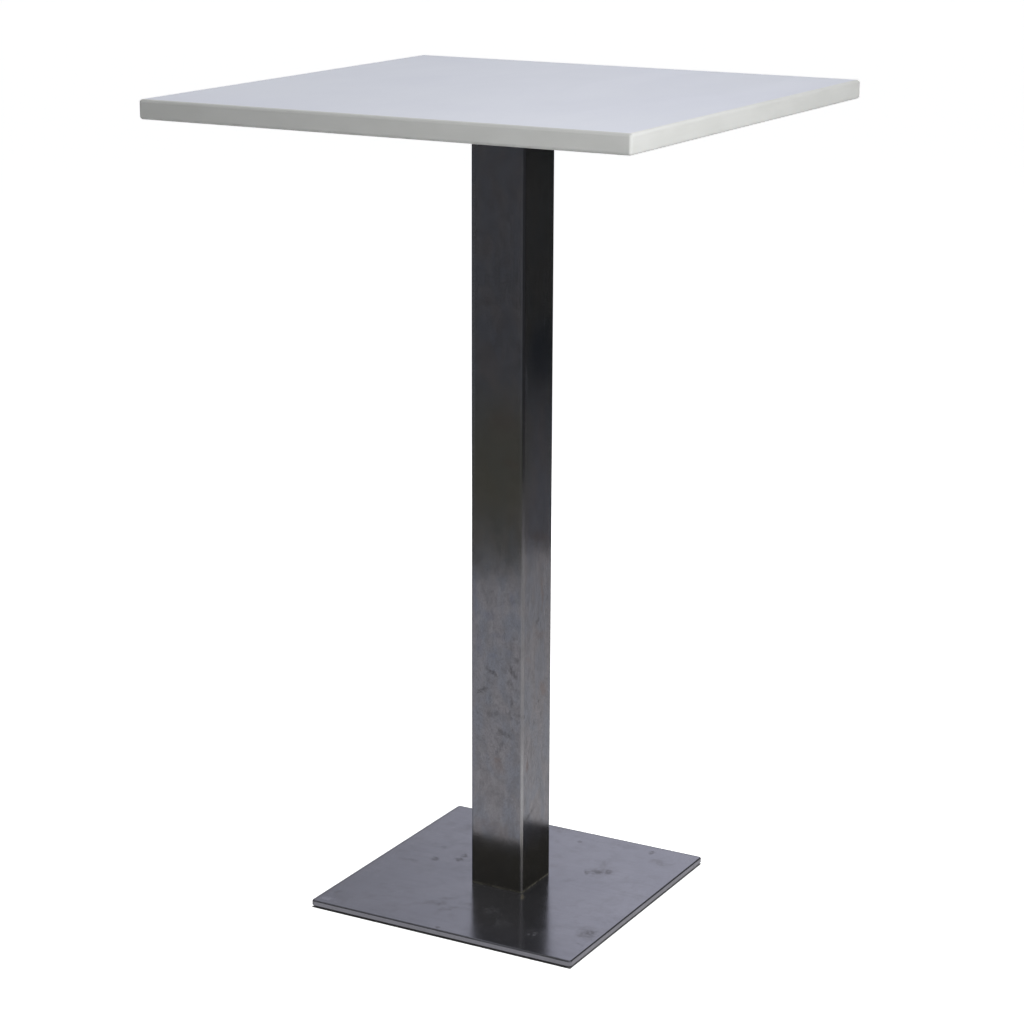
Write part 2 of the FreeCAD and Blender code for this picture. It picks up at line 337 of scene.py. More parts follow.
def laminate():
    """White melamine-faced laminate: fine pearl texture, wiped gloss, a few faint marks, and a painted
    bluish cast of the light from above.
    """
    s = Shader("white_laminate", Specular_IOR_Level=0.2)
    cloud = s.noise(s.scaled(3, 3, 3), 2)
    # The bluish tone is a painted cast of the light from above
    tone = s.mix(s.band(cloud, 0.3, 0.7), (0.575, 0.592, 0.655), (0.600, 0.618, 0.672))
    hair = s.noise(s.scaled(9, 420, 1, (0.3, 0, 0)), 2, twist=0.4)
    cross = s.noise(s.scaled(380, 14, 1, (0, 0.7, 0)), 2, twist=0.5)
    marks = s.larger(s.band(hair, 0.70, 0.78), s.band(cross, 0.71, 0.79))
    patch = s.band(s.noise(s.scaled(5, 5, 5, (2, 1, 0)), 3), 0.5, 0.66)
    worn = s.times(marks, patch)
    s.base(s.tint(tone, worn, 0.25, (0.50, 0.51, 0.55)))
    wiped = s.noise(s.scaled(7, 2.2, 5, (0, 0, 1)), 4, 0.6, 0.8)
    s.rough(s.math("ADD", s.band(wiped, 0.3, 0.7, 0.42, 0.52), s.times(worn, 0.12)))
    s.bump(s.noise(s.scaled(1600, 1600, 1600), 2), 0.00003, 0.35)
    return s.material


def edging():
    """White ABS edge band: slightly warm, milled lengthwise, with painted shade in patches along its lower
    arris and painted shade along the upper arris of the front band.
    """
    s = Shader("white_edging", Specular_IOR_Level=0.35)
    streak = s.noise(s.scaled(6, 6, 900), 3)
    cloud = s.noise(s.scaled(14, 14, 40), 3)
    tone = s.mix(s.band(cloud, 0.35, 0.65), (0.582, 0.588, 0.570), (0.606, 0.611, 0.594))
    tone = s.tint(tone, s.band(streak, 0.55, 0.75), 0.25, (0.56, 0.56, 0.54))
    off_right = s.band(s.axis("X"), HALF_TOP - 0.0025, HALF_TOP - 0.0010, 1.0, 0.4)
    # Painted shade in patches along the lower arris, weaker on the right band
    low = s.band(s.axis("Z"), TOP_LOW + 0.0010, TOP_LOW + 0.0045, 1.0, 0.0)
    patchy = s.band(s.noise(s.scaled(60, 60, 160), 4, 0.6), 0.35, 0.7)
    tone = s.tint(tone, s.times(low, patchy, off_right), 0.35, (0.30, 0.29, 0.27))
    # Painted shade along the upper arris of the front band, which dims its highlight there
    front = s.band(s.axis("Y"), 0.0035 - HALF_TOP, 0.0045 - HALF_TOP, 1.0, 0.0)
    high = s.band(s.axis("Z"), TOP_HIGH - 0.0028, TOP_HIGH - 0.0016)
    s.base(s.tint(tone, s.times(front, off_right, high), 0.7, (0.44, 0.44, 0.43)))
    s.rough(s.band(s.noise(s.scaled(30, 30, 300), 3), 0.3, 0.7, 0.42, 0.55))
    s.bump(s.noise(s.scaled(9, 9, 1300), 2), 0.00004, 0.4)
    return s.material


def strokes(s, coords, marks):
    """A mask of soft oval marks from the rows at the top of the script."""
    total = None
    for face, along, across, length, width, angle, strength in marks:
        node = s.add("ShaderNodeMapping")
        node.vector_type = "TEXTURE"
        turn = math.radians(angle)
        along, across, length, width = along * MM, across * MM, length * MM, width * MM
        if face == "F":
            place, size, spin = (along, -HALF_TUBE, across), (length, MARK_DEPTH, width), (0, -turn, 0)
        elif face == "R":
            place, size, spin = (HALF_TUBE, along, across), (MARK_DEPTH, length, width), (turn, 0, 0)
        else:
            place, size, spin = (along, across, BASE_TOP), (length, width, BASE_MARK_DEPTH), (0, 0, turn)
        node.inputs["Location"].default_value = place
        node.inputs["Rotation"].default_value = spin
        node.inputs["Scale"].default_value = size
        s.link(coords, node.inputs["Vector"])
        far = s.add("ShaderNodeVectorMath")
        far.operation = "LENGTH"
        s.link(node.outputs[0], far.inputs[0])
        mark = s.band(far.outputs["Value"], 0.35, 1.35, strength, 0.0)
        total = mark if total is None else s.larger(total, mark)
    return total


def turned_to_front(s):
    """Coordinates that bring the rear and left faces of the column, and marks a little higher
    on them, onto the front and right ones."""
    side = s.math("SIGN", s.math("SUBTRACT", s.axis("X"), s.axis("Y")))
    node = s.add("ShaderNodeCombineXYZ")
    s.link(s.times(s.axis("X"), side), node.inputs["X"])
    s.link(s.times(s.axis("Y"), side), node.inputs["Y"])
    s.link(s.math("ADD", s.axis("Z"), s.band(side, -1, 1, -0.024, 0, smooth=False)), node.inputs["Z"])
    return node.outputs[0]


def warped(s, coords, size, amount, seed=0.0):
    """Coordinates pushed about by noise, so that marks get ragged outlines."""
    node = s.add("ShaderNodeTexNoise")
    node.inputs["Scale"].default_value = 1 / size
    node.inputs["Detail"].default_value = 3
    shift = s.add("ShaderNodeVectorMath")
    shift.operation = "ADD"
    shift.inputs[1].default_value = (seed, seed, seed)
    s.link(s.coords, shift.inputs[0])
    s.link(shift.outputs[0], node.inputs["Vector"])
    centred = s.add("ShaderNodeVectorMath")
    centred.operation = "MULTIPLY_ADD"
    centred.inputs[1].default_value = (amount, amount, amount)
    s.link(node.outputs["Color"], centred.inputs[0])
    half = s.add("ShaderNodeVectorMath")
    half.operation = "SUBTRACT"
    half.inputs[1].default_value = (amount / 2, amount / 2, amount / 2)
    s.link(coords, half.inputs[0])
    s.link(half.outputs[0], centred.inputs[2])
    return centred.outputs[0]


def brushed_tone(s, grain):
    """The tube's own colour: slow hues, mottling and fine streaks along the brushing."""
    hue = s.noise(s.scaled(34, 34, 16, (0.7, 0.1, 0.9)), 3, 0.55, 0.4)
    mottle = s.noise(s.scaled(95, 95, 62, (2.7, 0.3, 0.4)), 4, 0.6, 0.5)
    fine = s.noise(s.scaled(400, 400, 330, (0.9, 3.1, 0.2)), 4, 0.65, 0.3)
    streak = s.noise(s.scaled(330, 330, 3.5, (0.2, 0.4, 0.1)), 3, 0.6)
    pale = s.noise(s.scaled(75, 75, 48, (6.1, 0.8, 2.4)), 4, 0.65, 0.3)
    tone = s.mix(s.band(hue, 0.38, 0.62), (0.199, 0.206, 0.236), (0.227, 0.217, 0.230))
    tone = s.tint(tone, s.band(mottle, 0.42, 0.66), 0.42, (0.135, 0.132, 0.140))
    tone = s.tint(tone, s.band(fine, 0.42, 0.68), 0.50, (0.135, 0.134, 0.141))
    tone = s.tint(tone, s.band(streak, 0.45, 0.75), 0.14, (0.150, 0.150, 0.158))
    tone = s.tint(tone, s.band(pale, 0.48, 0.70), 0.32, (0.275, 0.270, 0.280))
    return s.tint(tone, s.band(grain, 0.45, 0.8), 0.15, (0.25, 0.25, 0.26))


def films_and_side_shade(s, tone, z, faces):
    """Adds smudges of grease and cleaning film, dark bluish patches high on the right face, and painted
    shade that darkens the side faces high up.
    """
    loose = warped(s, faces, 0.010, 0.016)
    tone = s.tint(tone, strokes(s, faces, COLUMN_OLIVE), 0.7, (0.176, 0.173, 0.150))
    tone = s.tint(tone, strokes(s, loose, COLUMN_BLUE), 0.36, (0.138, 0.150, 0.205))
    tone = s.tint(tone, strokes(s, loose, COLUMN_BROWN), 0.58, (0.170, 0.132, 0.122))
    # Painted shade: the side faces get darker high up
    on_sides = s.band(s.math("ABSOLUTE", s.axis("X")), HALF_TUBE - 0.0005, HALF_TUBE - 0.0001)
    tone = s.mix(s.times(on_sides, s.band(z, 0.66, 0.80, 0.0, 0.45)), tone, (0.085, 0.088, 0.070))
    # Dark bluish patches high on the right face
    return s.tint(tone, strokes(s, loose, COLUMN_DARK_PATCHES), 0.62, (0.060, 0.074, 0.104))


def column_scuffs(s, z, faces, ragged):
    """A mask of the dark scuffs and of the fine specks among them."""
    scuff = s.times(strokes(s, warped(s, faces, 0.0045, 0.0100, 3.0), COLUMN_SCUFFS), ragged)
    speck = s.noise(s.scaled(170, 170, 110, (1.3, 0, 0)), 4, 0.65, 0.6)
    zone = s.times(s.band(z, 0.12, 0.2), s.band(z, 0.34, 0.5, 1.0, 0.25))
    return s.larger(scuff, s.times(s.band(speck, 0.53, 0.72, 0.0, 0.6), zone))


def pale_spots_and_highlight_lines(s, faces, ragged):
    """A mask of the painted highlight lines beside the arrises and of a few pale spots."""
    spots = strokes(s, warped(s, faces, 0.0040, 0.0030, 7.0), COLUMN_PALE)
    return s.larger(strokes(s, faces, COLUMN_HIGHLIGHT_LINES), s.times(spots, ragged))


def arris_light_and_shade(s, tone, z):
    """Gives the tone with painted light and shade on its four arrises, and a mask of the painted highlight.

    The front right and rear left arrises get a painted highlight low down, a painted sheen beside it and
    painted shade above. The other two get painted shade along their length."""
    across = s.math("ADD", s.math("ABSOLUTE", s.axis("X")), s.math("ABSOLUTE", s.axis("Y")))
    arris = s.band(across, 2 * HALF_TUBE - 0.0034, 2 * HALF_TUBE - 0.0021)
    beside = s.band(across, 2 * HALF_TUBE - 0.0055, 2 * HALF_TUBE - 0.0025)
    sign = s.math("SIGN", s.times(s.axis("X"), s.axis("Y")))
    highlit_pair = s.band(sign, -0.1, 0.1, 1.0, 0.0)
    painted_dark_edge = s.times(arris, s.band(sign, -0.1, 0.1))
    uneven = s.band(s.noise(s.scaled(60, 60, 22, (3, 3, 0)), 3), 0.35, 0.6, 0.6, 1.0)
    low = s.times(s.band(z, 0.19, 0.25, 0.92, 0.30), s.band(z, 0.48, 0.62, 1.0, 0.0))
    # Painted highlight along the front right and rear left arrises, patchy, strongest low down
    arris_highlight = s.times(arris, highlit_pair, uneven, low)
    # The painted highlight's colour, dimmer near the foot
    bright = s.mix(s.band(z, 0.09, 0.13), (0.27, 0.26, 0.250), (0.43, 0.43, 0.44))
    # Painted shade along the front left and rear right arrises
    tone = s.tint(tone, painted_dark_edge, 0.85, (0.070, 0.074, 0.098))
    # Painted shade on the front right and rear left arrises high up
    tone = s.mix(s.times(arris, highlit_pair, s.band(z, 0.52, 0.72)), tone, (0.050, 0.050, 0.054))
    # Painted sheen beside the front right and rear left arrises, low down
    soft = s.times(beside, highlit_pair, s.band(z, 0.48, 0.62, 0.5, 0.0))
    tone = s.mix(soft, tone, (0.245, 0.240, 0.245))
    return s.mix(arris_highlight, tone, bright), arris_highlight


def column_steel():
    """Vertically brushed stainless tube, scuffed on its lower half, with painted highlights and shade on
    its arrises and painted shade high on its side faces.
    """
    s = Shader("brushed_column", Anisotropic=0.85)
    z = s.axis("Z")
    faces = turned_to_front(s)
    grain = s.noise(s.scaled(1500, 1500, 9), 2)
    ragged = s.band(s.noise(s.scaled(430, 430, 430), 3), 0.36, 0.58, 0.35, 1.0)
    scuff = column_scuffs(s, z, faces, ragged)
    tone = films_and_side_shade(s, brushed_tone(s, grain), z, faces)
    tone = s.tint(tone, scuff, 0.73, (0.082, 0.080, 0.086))
    tone = s.tint(tone, s.band(z, 0.055, 0.095, 1.0, 0.0), 0.7, (0.185, 0.172, 0.130))
    # Pale spots, and painted highlight lines beside the arrises
    tone = s.mix(pale_spots_and_highlight_lines(s, faces, ragged), tone, (0.27, 0.285, 0.31))
    # Painted highlight and shade on the arrises
    tone, arris_highlight = arris_light_and_shade(s, tone, z)
    crust = s.band(s.noise(s.scaled(110, 110, 110, (0.2, 0.9, 0)), 3), 0.36, 0.58, 0.35, 1.0)
    crust = s.times(s.band(z, BASE_TOP + 0.0013, BASE_TOP + 0.0043, 0.75, 0.0), crust)
    s.base(s.mix(crust, tone, (0.215, 0.205, 0.160)))
    # The painted arris highlight and the crust at the foot are less metallic
    s.metal(s.math("SUBTRACT", 0.9, s.larger(s.times(arris_highlight, 0.25), s.times(crust, 0.45))))
    smear = s.noise(s.scaled(26, 26, 8, (0, 2, 0)), 3, 0.55, 0.5)
    s.rough(s.math("ADD", s.band(smear, 0.35, 0.7, 0.155, 0.205), s.times(scuff, 0.10)))
    tangent = s.add("ShaderNodeTangent")
    tangent.direction_type = "RADIAL"
    tangent.axis = "Z"
    s.link(tangent.outputs[0], s.bsdf.inputs["Tangent"])
    s.bump(grain, 0.000006, 0.3)
    return s.material


def satin_tone(s, grain):
    """The base skin's own colour: bluish, with cleaning film, wiped streaks and specks."""
    cloud = s.noise(s.scaled(9, 9, 9), 3, 0.55)
    film = s.noise(s.scaled(48, 48, 48, (1.1, 0.2, 0)), 4, 0.6, 0.6)
    wipe = s.noise(s.scaled(16, 210, 60, (2.2, 0.5, 0)), 4, 0.6, 0.7)
    speck = s.noise(s.scaled(330, 330, 330, (0, 1.7, 0)), 3, 0.6)
    tone = s.mix(s.band(cloud, 0.3, 0.7), (0.237, 0.237, 0.265), (0.263, 0.262, 0.289))
    tone = s.tint(tone, s.band(film, 0.46, 0.70), 0.38, (0.186, 0.184, 0.198))
    tone = s.tint(tone, s.band(wipe, 0.46, 0.72), 0.30, (0.190, 0.189, 0.204))
    tone = s.tint(tone, s.band(speck, 0.5, 0.75), 0.30, (0.186, 0.184, 0.194))
    return s.tint(tone, s.band(grain, 0.5, 0.8), 0.12, (0.15, 0.15, 0.17))


def base_steel():
    """Satin stainless skin of the base, with smudges, scuffs, grime and painted shade: a dark line along
    its rear and left rim.
    """
    s = Shader("satin_base")
    grain = s.noise(s.scaled(6, 900, 900), 3)
    loose = warped(s, s.coords, 0.012, 0.024)
    tight = warped(s, s.coords, 0.007, 0.014, 5.0)
    ragged = s.band(s.noise(s.scaled(210, 210, 210, (0, 0, 4)), 4, 0.65), 0.38, 0.60, 0.3, 1.0)
    smear = s.times(strokes(s, loose, BASE_SMEARS), ragged)
    scuff = s.times(strokes(s, tight, BASE_SCUFFS), ragged)
    grime = strokes(s, warped(s, s.coords, 0.006, 0.006, 1.0), BASE_GRIME)
    tone = s.tint(satin_tone(s, grain), smear, 0.75, (0.135, 0.130, 0.136))
    tone = s.tint(tone, scuff, 0.95, (0.078, 0.074, 0.078))
    tone = s.tint(tone, strokes(s, tight, BASE_PALE), 0.45, (0.42, 0.42, 0.46))
    tone = s.tint(tone, grime, 0.8, (0.270, 0.235, 0.150))
    # Painted shade: a dark line along the rear and left rim
    rim = s.larger(s.times(s.axis("X"), -1), s.axis("Y"))
    painted_dark_edge = s.band(rim, HALF_BASE - 0.0070, HALF_BASE - 0.0020, 0.0, 0.5)
    s.base(s.mix(painted_dark_edge, tone, (0.075, 0.073, 0.076)))
    fleck = s.band(s.noise(s.scaled(190, 120, 150, (3, 0, 6)), 5, 0.75), 0.44, 0.62)
    dust = s.larger(s.times(strokes(s, loose, BASE_DUST), fleck), grime)
    s.metal(s.math("SUBTRACT", 0.87, s.times(dust, 0.30)))
    swirl = s.noise(s.scaled(14, 22, 14, (3, 0, 0)), 4, 0.6, 1.2)
    s.rough(s.math("ADD", s.band(swirl, 0.3, 0.7, 0.145, 0.195), s.times(smear, 0.05)))
    s.bump(grain, 0.000004, 0.3)
    return s.material


def black_cast_iron():
    """Sand-cast iron under thin black paint: pitted skin, dust in the hollows, chipped spots."""
    s = Shader("black_casting")
    sand = s.noise(s.scaled(900, 900, 900), 4, 0.65)
    lump = s.noise(s.scaled(160, 160, 160, (1, 0, 0)), 3)
    dust = s.noise(s.scaled(35, 35, 35, (0, 3, 0)), 4, 0.6)
    tone = s.mix(s.band(lump, 0.3, 0.7), (0.016, 0.016, 0.017), (0.030, 0.029, 0.028))
    tone = s.tint(tone, s.band(dust, 0.52, 0.75), 0.35, (0.085, 0.078, 0.068))
    chip = s.band(s.noise(s.scaled(230, 230, 230, (5, 0, 0)), 2), 0.74, 0.77)
    tone = s.tint(tone, chip, 0.7, (0.13, 0.075, 0.045))
    s.base(tone)
    s.rough(s.band(sand, 0.3, 0.7, 0.42, 0.62))
    s.bump(sand, 0.0002, 0.55, s.bump(lump, 0.0006, 0.4))
    return s.material


def zinc_plate(name, pitch=None, low=0.0, high=0.0):
    """Bright zinc plating; with a pitch, a helical thread outside the plain stretch low..high."""
    s = Shader(name, Metallic=1.0)
    cloud = s.noise(s.scaled(160, 160, 160), 3, 0.55)
    wipe = s.noise(s.scaled(420, 420, 60, (0, 1, 0)), 3)
    tone = s.mix(s.band(cloud, 0.3, 0.7), (0.56, 0.57, 0.58), (0.66, 0.65, 0.60))
    tone = s.tint(tone, s.band(wipe, 0.55, 0.8), 0.4, (0.40, 0.40, 0.40))
    s.base(tone)
    s.rough(s.band(cloud, 0.3, 0.7, 0.26, 0.40))
    if pitch is None:
        s.bump(wipe, 0.00002, 0.4)
        return s.material
    turn = s.math("DIVIDE", s.math("ARCTAN2", s.axis("Y"), s.axis("X")), 2 * math.pi)
    rise = s.math("SUBTRACT", s.math("DIVIDE", s.axis("Z"), pitch), turn)
    ridge = s.math("ABSOLUTE", s.math("SUBTRACT", s.math("FRACT", rise), 0.5))
    z = s.axis("Z")
    threaded = s.larger(s.band(z, low, low + 0.001, 1.0, 0.0), s.band(z, high - 0.001, high))
    s.bump(s.times(ridge, threaded), 0.0011, 1.0)
    return s.material


def ringed_zinc(pitch):
    """Zinc with thread grooves across Z, for the short levelling screws."""
    s = Shader("zinc_screw", Metallic=1.0)
    cloud = s.noise(s.scaled(220, 220, 220), 3)
    s.base(s.mix(s.band(cloud, 0.3, 0.7), (0.52, 0.53, 0.54), (0.63, 0.62, 0.58)))
    s.rough(s.band(cloud, 0.3, 0.7, 0.28, 0.42))
    rise = s.math("FRACT", s.math("DIVIDE", s.axis("Z"), pitch))
    s.bump(s.math("ABSOLUTE", s.math("SUBTRACT", rise, 0.5)), 0.0008, 1.0)
    return s.material


def powder_coat():
    """The base plate's black powder coat: orange peel, scratches and floor dust."""
    s = Shader("plate_steel", Specular_IOR_Level=0.35)
    peel = s.noise(s.scaled(520, 520, 520), 2)
    dust = s.noise(s.scaled(22, 22, 22, (4, 0, 0)), 4, 0.6, 0.4)
    hair = s.noise(s.scaled(30, 900, 40, (0, 2, 0)), 3, 0.6, 0.6)
    tone = s.mix(s.band(dust, 0.4, 0.7), (0.012, 0.012, 0.013), (0.030, 0.029, 0.027))
    tone = s.tint(tone, s.band(hair, 0.68, 0.76), 0.5, (0.16, 0.155, 0.15))
    s.base(tone)
    s.rough(s.band(dust, 0.35, 0.7, 0.50, 0.68))
    s.bump(peel, 0.00012, 0.5)
    return s.material


def particleboard():
    """Pressed wood chips in the core: pale and dark flakes of many sizes."""
    s = Shader("particleboard", Specular_IOR_Level=0.2)
    bent = warped(s, s.coords, 0.006, 0.004, 2.0)
    tone = None
    for size, low, high in (((260, 260, 700), 0.30, 0.72), ((620, 620, 1300), 0.4, 0.6)):
        scale = s.add("ShaderNodeVectorMath")
        scale.operation = "MULTIPLY"
        scale.inputs[1].default_value = size
        s.link(bent, scale.inputs[0])
        flake = s.cells(scale.outputs[0])
        pick = s.add("ShaderNodeSeparateColor")
        s.link(flake, pick.inputs[0])
        shade = s.mix(s.band(pick.outputs[0], low, high), (0.30, 0.195, 0.10), (0.60, 0.45, 0.27))
        tone = shade if tone is None else s.mix(0.45, tone, shade)
    s.base(tone)
    pore = s.noise(s.scaled(800, 800, 800), 3, 0.6)
    s.rough(s.band(pore, 0.3, 0.7, 0.72, 0.88))
    s.bump(pore, 0.0003, 0.6)
    return s.material


def backer():
    """The balancing sheet beneath: off-white, faintly mottled, with rub marks."""
    s = Shader("backing", Specular_IOR_Level=0.3)
    fibre = s.noise(s.scaled(45, 160, 45), 4, 0.6, 0.5)
    cloud = s.noise(s.scaled(8, 8, 8, (2, 0, 0)), 3)
    tone = s.mix(s.band(cloud, 0.35, 0.7), (0.60, 0.585, 0.545), (0.65, 0.64, 0.60))
    tone = s.tint(tone, s.band(fibre, 0.55, 0.75), 0.3, (0.50, 0.48, 0.43))
    rub = s.band(s.noise(s.scaled(18, 260, 5, (7, 1, 0)), 3, 0.6, 0.8), 0.70, 0.78)
    s.base(s.tint(tone, rub, 0.35, (0.30, 0.29, 0.28)))
    s.rough(s.band(fibre, 0.3, 0.7, 0.48, 0.60))
    s.bump(fibre, 0.00004, 0.5)
    return s.material


def glide_plastic():
    """Moulded black polyethylene, greyed and scratched where it rests on the floor."""
    s = Shader("black_plastic", Specular_IOR_Level=0.35)
    fine = s.noise(s.scaled(1400, 1400, 1400), 2)
    rub = s.noise(s.scaled(900, 160, 300, (2, 0, 0)), 3, 0.6, 0.5)
    tone = s.mix(s.band(fine, 0.3, 0.7), (0.014, 0.014, 0.015), (0.024, 0.024, 0.026))
    foot = s.times(s.band(s.axis("Z"), 0.0, 0.0004, 1.0, 0.0), s.band(rub, 0.35, 0.7, 0.3, 1.0))
    s.base(s.tint(tone, foot, 0.25, (0.12, 0.115, 0.11)))
    s.rough(s.math("ADD", s.band(fine, 0.3, 0.7, 0.40, 0.52), s.times(foot, 0.2)))
    s.bump(fine, 0.00005, 0.5)
    return s.material


white_laminate = laminate()
white_edging = edging()
casting = black_cast_iron()
zinc = zinc_plate("zinc_steel")
plastic = glide_plastic()
finishes = {
    "top_laminate": white_laminate, "top_core": particleboard(), "backing_laminate": backer(),
    "spider": casting, "spider_screws": zinc, "column": column_steel(), "base_cover": base_steel(),
    "base_core": powder_coat(), "tie_rod": zinc_plate("zinc_rod", pitch=0.00175, low=0.10, high=0.98),
}
foot_thread = ringed_zinc(pitch=0.00125)
for name in nodes:
    if name.startswith("edge_band"):
        dress(name, white_edging)
    elif name.startswith("foot_pad"):
        dress(name, plastic)
    elif name.startswith("foot_screw"):
        dress(name, foot_thread)
    else:
        dress(name, finishes.get(name, zinc))


# ---- Detailed pieces in place of plain solids ---------------------------------------

def cast_spider(material):
    """The spider with the rounded edges and inside corners of a sand casting."""
    bm = bmesh.new()
    bm.from_mesh(nodes["spider"].data)
    bmesh.ops.remove_doubles(bm, verts=bm.verts, dist=1e-6)
    bmesh.ops.dissolve_limit(bm, angle_limit=math.radians(1.5), verts=bm.verts, edges=bm.edges)
    piece = new_object("spider_casting", bm, material, "table")
    bevel(piece, 0.0012, 3)
    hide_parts("spider")


def carved(bm, tool):
    """One closed mesh cut out of another."""
    pair = []
    for source in (bm, tool):
        mesh = bpy.data.meshes.new("carving")
        source.to_mesh(mesh)
        source.free()
        pair.append(bpy.data.objects.new("carving", mesh))
        scene.collection.objects.link(pair[-1])
    cut = pair[0].modifiers.new("cut", "BOOLEAN")
    cut.operation = "DIFFERENCE"
    cut.solver = "EXACT"
    cut.object = pair[1]
    result = bmesh.new()
    result.from_mesh(pair[0].evaluated_get(bpy.context.evaluated_depsgraph_get()).to_mesh())
    for piece in pair:
        bpy.data.objects.remove(piece)
    return result


def wood_screw():
    """A pan-head screw pointing up from z = 0 under its head: cross recess, coarse thread."""
    plan = circle(32)
    head = [
        (0.0012, -SCREW_HEAD), (0.0028, -0.00293), (0.0039, -0.0026), (0.0045, -0.0019),
        (SCREW_HEAD_RADIUS, -0.0010), (SCREW_HEAD_RADIUS, -0.0002), (0.0046, 0.0),
    ]
    neck = [(0.0024, 0.0), (0.0023, 0.0012)]
    turns, low, high, root, crest = 11, 0.0022, 0.0172, 0.0018, 0.0025
    thread = [
        (crest if k % 2 else root, low + (high - low) * k / (2 * turns)) for k in range(2 * turns + 1)
    ]
    point = [(0.0012, 0.0186), (0.0003, 0.0199)]
    bm = bmesh.new()
    loft(bm, [ring(round_plan(radius, plan), z) for radius, z in head + neck + thread + point])
    for turn in (0, math.pi / 2):
        bm = carved(bm, recess_arm(turn))
    return bm


def recess_arm(turn):
    """One arm of the head's cross recess: a bar that narrows upwards into the head."""
    c, s = math.cos(turn), math.sin(turn)
    rings = []
    for half, width, z in ((0.0031, 0.0006, -0.0040), (0.0024, 0.0005, -0.0018), (0.0009, 0.0004, -0.0008)):
        corners = ((-half, -width), (half, -width), (half, width), (-half, width))
        rings.append([Vector((c * x - s * y, s * x + c * y, z)) for x, y in corners])
    bar = bmesh.new()
    loft(bar, rings)
    return bar


def wood_screws(material):
    """Four screws in the arms' tips, each turned a little differently."""
    one = wood_screw()
    mesh = bpy.data.meshes.new("one_screw")
    one.to_mesh(mesh)
    one.free()
    bm = bmesh.new()
    for k, (x, y) in enumerate(CORNERS.values()):
        before = len(bm.verts)
        bm.from_mesh(mesh)
        bm.verts.ensure_lookup_table()
        place = Matrix.Translation((SCREW_PLACE * x, SCREW_PLACE * y, SCREW_SEAT))
        place = place @ Matrix.Rotation(0.4 + 0.9 * k, 4, "Z")
        bmesh.ops.transform(bm, matrix=place, verts=bm.verts[before:])
    piece = new_object("pan_head_screws", bm, material, "table")
    soft_edges(piece, 30)
    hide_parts("spider_screws")


def hex_nut(name, node, material):
    """A nut with its corners turned off at 30 degrees and its thread countersunk."""
    lowest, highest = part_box(node)
    low, top, flat = lowest.z, highest.z, highest.y
    bore, lead, face = ROD_RADIUS + 0.00005, 0.0007, 0.97 * flat
    plan = circle(72)
    outline, drop = [], []
    for k, (x, y) in enumerate(plan):
        turn = (2 * math.pi * k / len(plan)) % (math.pi / 3) - math.pi / 6
        reach = flat / math.cos(turn)
        outline.append((reach * x, reach * y))
        drop.append(max(reach - face, 0) * math.tan(math.radians(30)))
    rings = [
        ring(round_plan(bore + lead, plan), low),
        ring(round_plan(bore, plan), low + lead),
        ring(round_plan(bore, plan), top - lead),
        ring(round_plan(bore + lead, plan), top),
        ring(round_plan(face, plan), top),
        [Vector((x, y, top - d)) for (x, y), d in zip(outline, drop)],
        [Vector((x, y, low + d)) for (x, y), d in zip(outline, drop)],
        ring(round_plan(face, plan), low),
    ]
    bm = bmesh.new()
    loft(bm, rings, closed=True)
    piece = new_object(name, bm, material, "table")
    soft_edges(piece, 20)
    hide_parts(node)


def glide(corner, material):
    """A moulded hexagonal pad: rounded edges, a shallow ring and the gate mark beneath."""
    lowest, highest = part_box("foot_pad_" + corner)
    middle, top = (lowest + highest) / 2, highest.z
    flats = highest.y - lowest.y
    full = hexagon_plan(flats, 0.0016, 5)
    small = hexagon_plan(flats - 0.0009, 0.0012, 5)
    socket, floor, ring_radius, gate, draft = 0.00408, 0.0009, 0.0104, 0.0030, 0.0002
    rings = [
        ring(round_plan(socket, full), floor),
        ring(round_plan(socket, full), top - 0.0004),
        ring(round_plan(socket + 0.00052, full), top),
        ring(small, top),
        ring(full, top - 0.0005),
        ring(full, 0.0006),
        ring(small, 0.0),
        ring(round_plan(ring_radius + draft, full), 0.0),
        ring(round_plan(ring_radius - draft, full), 0.0003),
        ring(round_plan(gate + draft, full), 0.0003),
        ring(round_plan(gate - draft, full), 0.0001),
    ]
    bm = bmesh.new()
    loft(bm, rings)
    bmesh.ops.translate(bm, vec=(middle.x, middle.y, 0), verts=bm.verts)
    piece = new_object("glide_" + corner, bm, material, "pad_" + corner)
    soft_edges(piece, 25)
    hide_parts("foot_pad_" + corner)


cast_spider(casting)
wood_screws(zinc)
hex_nut("top_nut", "rod_top_nut", zinc)
hex_nut("lock_nut", "rod_lock_nut", zinc)
for corner in CORNERS:
    glide(corner, plastic)


# ---- Camera -------------------------------------------------------------------------

# The focal length counts pixels of a frame this wide; the turns are in degrees
FRAME_WIDTH = 1024
FOCAL_LENGTH = 2611.6
CAMERA_PLACE = (1.63888, -2.9465, 1.45786)
CAMERA_YAW = 29.08
CAMERA_DOWN = 15.26
CAMERA_ROLL = 0.20


